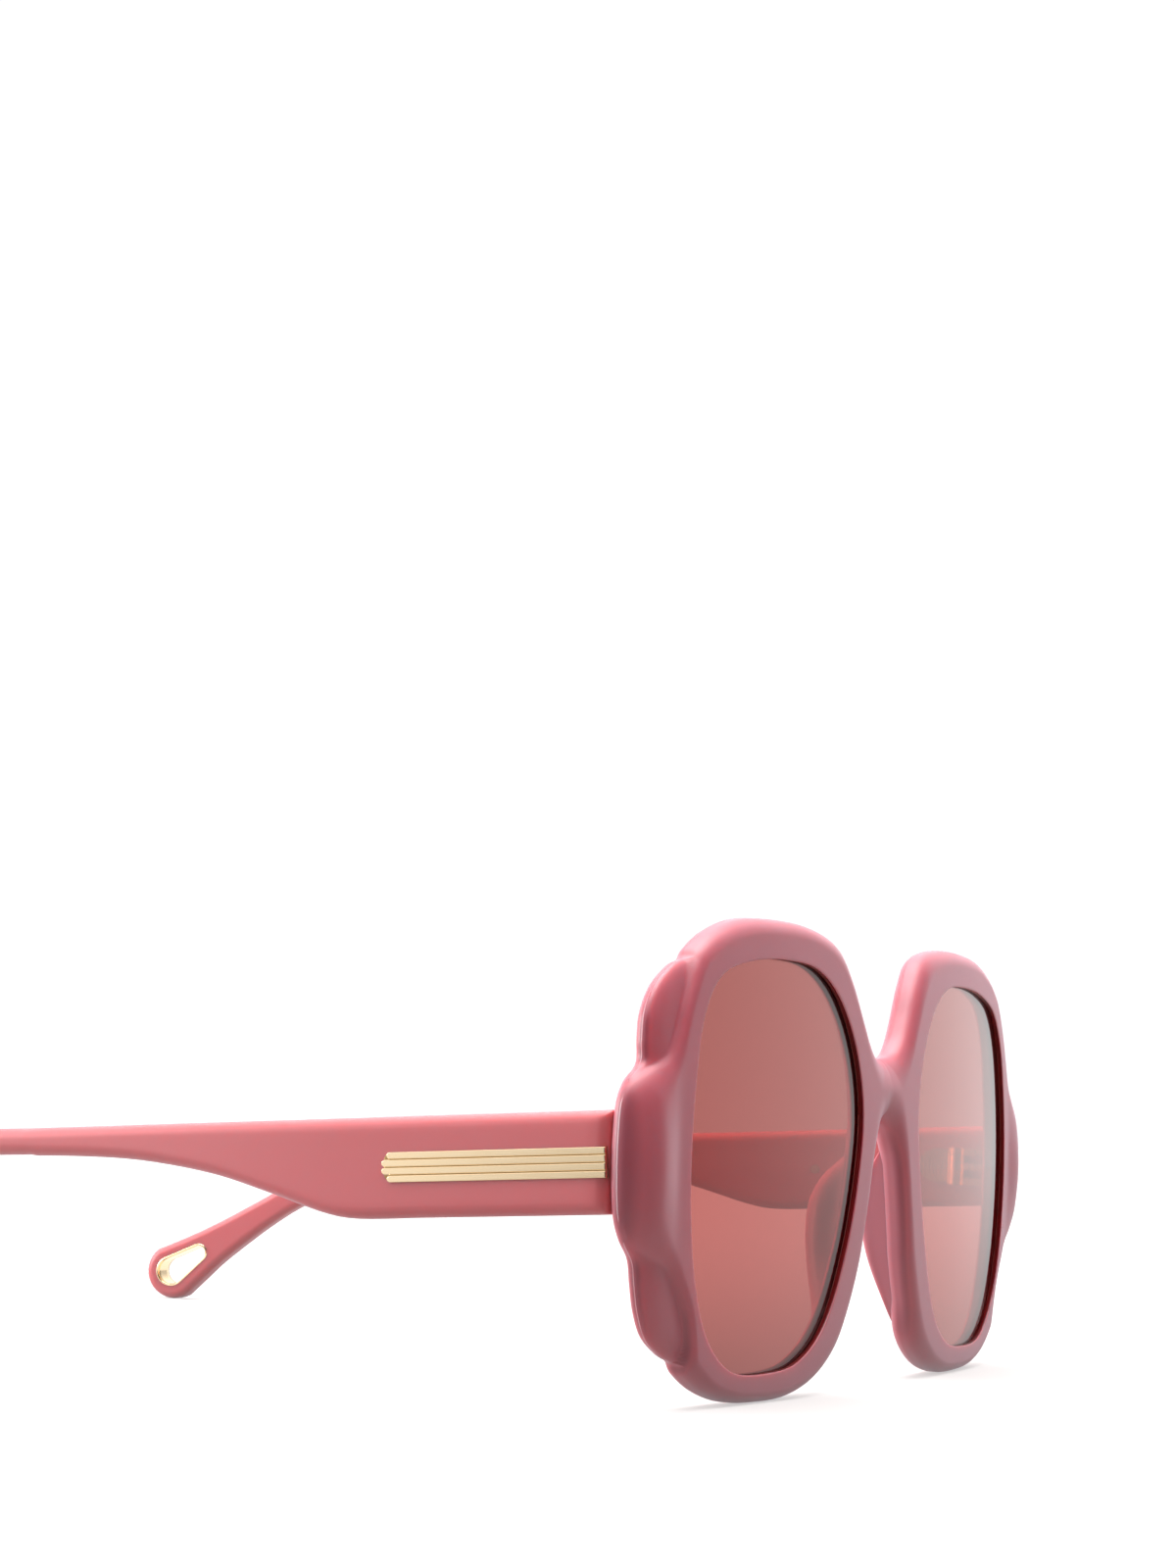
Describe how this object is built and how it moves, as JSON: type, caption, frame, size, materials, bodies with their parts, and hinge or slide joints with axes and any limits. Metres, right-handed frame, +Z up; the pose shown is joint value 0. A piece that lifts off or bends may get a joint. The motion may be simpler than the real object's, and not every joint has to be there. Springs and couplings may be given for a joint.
{
  "type": "sunglasses",
  "caption": "Oversized sunglasses with a lobed pink acetate front, tinted lenses, folding temples with ribbed metal plaques and ring-lined tip windows.",
  "frame": {"origin": "middle of the object's box on the surface that it stands on", "axes": "+X to the wearer's left, the face looks along -Y and the temples run along +Y, +Z up"},
  "size_m": [0.151, 0.1566, 0.0619],
  "materials": {
    "front acetate": "tumbled satin",
    "temple acetate": "tumbled satin",
    "tinted nylon": "polished",
    "gold-plated nickel silver": "polished",
    "plaque gold": "polished",
    "screw steel": "turned",
    "core wire steel": "drawn"
  },
  "bodies": {
    "front": {"front_frame": "front acetate", "lens_right": "tinted nylon", "lens_left": "tinted nylon", "nose_pad_right": "front acetate", "nose_pad_left": "front acetate", "front_hinge_right": "gold-plated nickel silver", "front_hinge_left": "gold-plated nickel silver", "hinge_screw_right": "screw steel", "hinge_screw_left": "screw steel"},
    "temple_right": {"temple_right": "temple acetate", "temple_hinge_right": "gold-plated nickel silver", "core_wire_right": "core wire steel", "plaque_right": "plaque gold", "plaque_rivet_right": "plaque gold", "tip_ring_right": "plaque gold"},
    "temple_left": {"temple_left": "temple acetate", "temple_hinge_left": "gold-plated nickel silver", "core_wire_left": "core wire steel", "plaque_left": "plaque gold", "plaque_rivet_left": "plaque gold", "tip_ring_left": "plaque gold"}
  },
  "joints": [
    {"name": "temple_right_fold", "type": "hinge", "parent": "front", "child": "temple_right", "pos_m": [-0.0687, -0.06399, 0.02969], "axis": [0, 0, -1], "range_deg": [0, 76]},
    {"name": "temple_left_fold", "type": "hinge", "parent": "front", "child": "temple_left", "pos_m": [0.0687, -0.06399, 0.02969], "axis": [0, 0, 1], "range_deg": [0, 88]}
  ]
}
